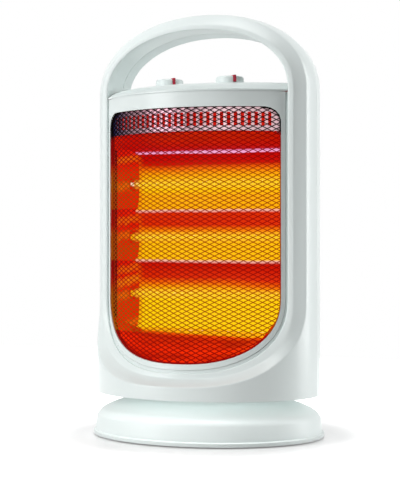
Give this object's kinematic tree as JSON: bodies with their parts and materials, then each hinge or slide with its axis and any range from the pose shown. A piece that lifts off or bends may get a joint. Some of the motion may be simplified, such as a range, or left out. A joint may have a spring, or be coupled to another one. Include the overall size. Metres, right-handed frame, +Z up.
{
  "type": "halogen heater",
  "caption": "Upright halogen heater with a bowed guard, troughed reflector, arched carry handle, top knobs and a swinging oval base.",
  "frame": {"origin": "on the floor under the centre of the oval base", "axes": "+Z up, -Y towards the guarded front, +X to the right as seen from the front"},
  "size_m": [0.236, 0.198, 0.418],
  "materials": {
    "white_shell": "glossy injection-moulded shell",
    "black_plastic": "satin black moulded parts",
    "nylon": "natural nylon",
    "red_pointer": "glossy red marker",
    "rubber": "matt rubber feet",
    "steel": "zinc-plated steel",
    "cast_iron": "unpainted casting",
    "guard_wire": "chrome-plated expanded metal",
    "vent_metal": "bright slotted strip",
    "dark_band": "dark painted band",
    "polished_sheet": "polished reflector sheet",
    "quartz": "clear quartz glass",
    "glowing_coil": "tungsten, glowing",
    "ceramic": "unglazed steatite ceramic, opaque",
    "brass": "turned brass"
  },
  "bodies": {
    "base": {"ballast_weight": "cast_iron", "base_cover": "white_shell", "base_plate": "black_plastic", "base_screw_1": "steel", "base_screw_2": "steel", "base_screw_3": "steel", "base_screw_4": "steel", "bearing_ring": "nylon", "cord_inlet_bush": "black_plastic", "foot_1": "rubber", "foot_2": "rubber", "foot_3": "rubber", "foot_4": "rubber", "pivot_nut": "steel", "pivot_tube": "steel", "tip_switch": "black_plastic"},
    "column": {"ceramic_end_lower_left": "ceramic", "ceramic_end_lower_right": "ceramic", "ceramic_end_middle_left": "ceramic", "ceramic_end_middle_right": "ceramic", "ceramic_end_upper_left": "ceramic", "ceramic_end_upper_right": "ceramic", "column_floor": "white_shell", "filament_lower": "glowing_coil", "filament_middle": "glowing_coil", "filament_upper": "glowing_coil", "front_housing": "white_shell", "front_panel": "white_shell", "guard_band": "dark_band", "guard_mesh": "guard_wire", "heat_shield": "steel", "lower_deflector": "polished_sheet", "power_switch": "black_plastic", "rear_housing": "white_shell", "rear_screw_1": "steel", "rear_screw_2": "steel", "rear_screw_3": "steel", "rear_screw_4": "steel", "reflector": "polished_sheet", "side_reflector_left": "polished_sheet", "side_reflector_right": "polished_sheet", "swing_motor": "steel", "terminal_block": "nylon", "thermal_cutout": "steel", "timer_switch": "black_plastic", "top_deck": "white_shell", "tube_lower": "quartz", "tube_middle": "quartz", "tube_upper": "quartz", "upper_deflector": "polished_sheet", "vent_strip": "vent_metal"},
    "crank": {"swing_crank": "steel"},
    "left_knob": {"knob_left": "white_shell", "knob_pointer_left": "red_pointer", "knob_shaft_left": "brass"},
    "right_knob": {"knob_pointer_right": "red_pointer", "knob_right": "white_shell", "knob_shaft_right": "brass"},
    "plunger": {"tip_switch_plunger": "red_pointer"}
  },
  "joints": [
    {"name": "column_swing", "type": "hinge", "parent": "base", "child": "column", "pos_m": [0, 0, 0.04], "axis": [0, 0, 1], "range_deg": [-28.4, 28.4]},
    {"name": "crank_turn", "type": "hinge", "parent": "column", "child": "crank", "pos_m": [-0.042, 0, 0.045], "axis": [0, 0, 1], "range_deg": [-90.5, 90.5]},
    {"name": "power_knob_turn", "type": "hinge", "parent": "column", "child": "left_knob", "pos_m": [-0.0328, -0.02, 0.346], "axis": [0, 0, 1], "range_deg": [-45, 90]},
    {"name": "timer_knob_turn", "type": "hinge", "parent": "column", "child": "right_knob", "pos_m": [0.0328, -0.02, 0.346], "axis": [0, 0, 1], "range_deg": [-45, 225]},
    {"name": "tip_plunger_slide", "type": "slide", "parent": "base", "child": "plunger", "axis": [0, 0, -1], "range_m": [0, 0.003], "stiffness_N_per_m": 60, "springref_m": 0.003}
  ],
  "couplings": [
    {"joint": "crank_turn", "follows": "column_swing", "ratio": -3.169}
  ]
}
